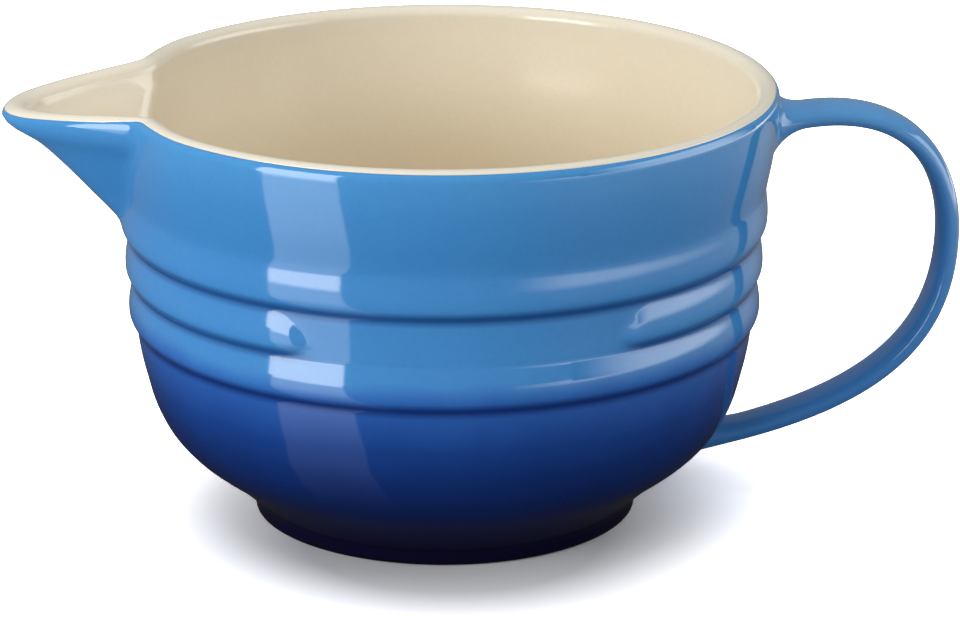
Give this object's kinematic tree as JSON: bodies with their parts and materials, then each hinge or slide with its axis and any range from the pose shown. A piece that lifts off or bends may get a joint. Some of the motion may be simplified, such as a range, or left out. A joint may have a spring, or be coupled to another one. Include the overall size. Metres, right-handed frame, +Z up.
{
  "type": "batter bowl",
  "caption": "Round ribbed stoneware mixing bowl with a V-shaped pouring spout, a looped strap handle and a foot ring.",
  "frame": {"origin": "centre of the foot ring's flat face, on the surface that the bowl stands on", "axes": "+Z up along the bowl's axis, +X from the axis to the handle, -X to the spout, -Y to the side with the bare panel in the middle rib"},
  "size_m": [0.2709, 0.1878, 0.1241],
  "materials": {
    "stoneware": "fired stoneware, bare on the foot ring and its recess",
    "slip": "fired slip, hidden in the joints",
    "blue_glaze": "glossy glaze, light blue at the rim falling to deep indigo at the foot",
    "cream_glaze": "glossy warm cream glaze"
  },
  "bodies": {
    "root": {"bowl_body": "stoneware", "handle": "stoneware", "upper_slip_joint": "slip", "lower_slip_joint": "slip", "outer_glaze": "blue_glaze", "liner_glaze": "cream_glaze", "handle_glaze": "blue_glaze"}
  },
  "joints": []
}
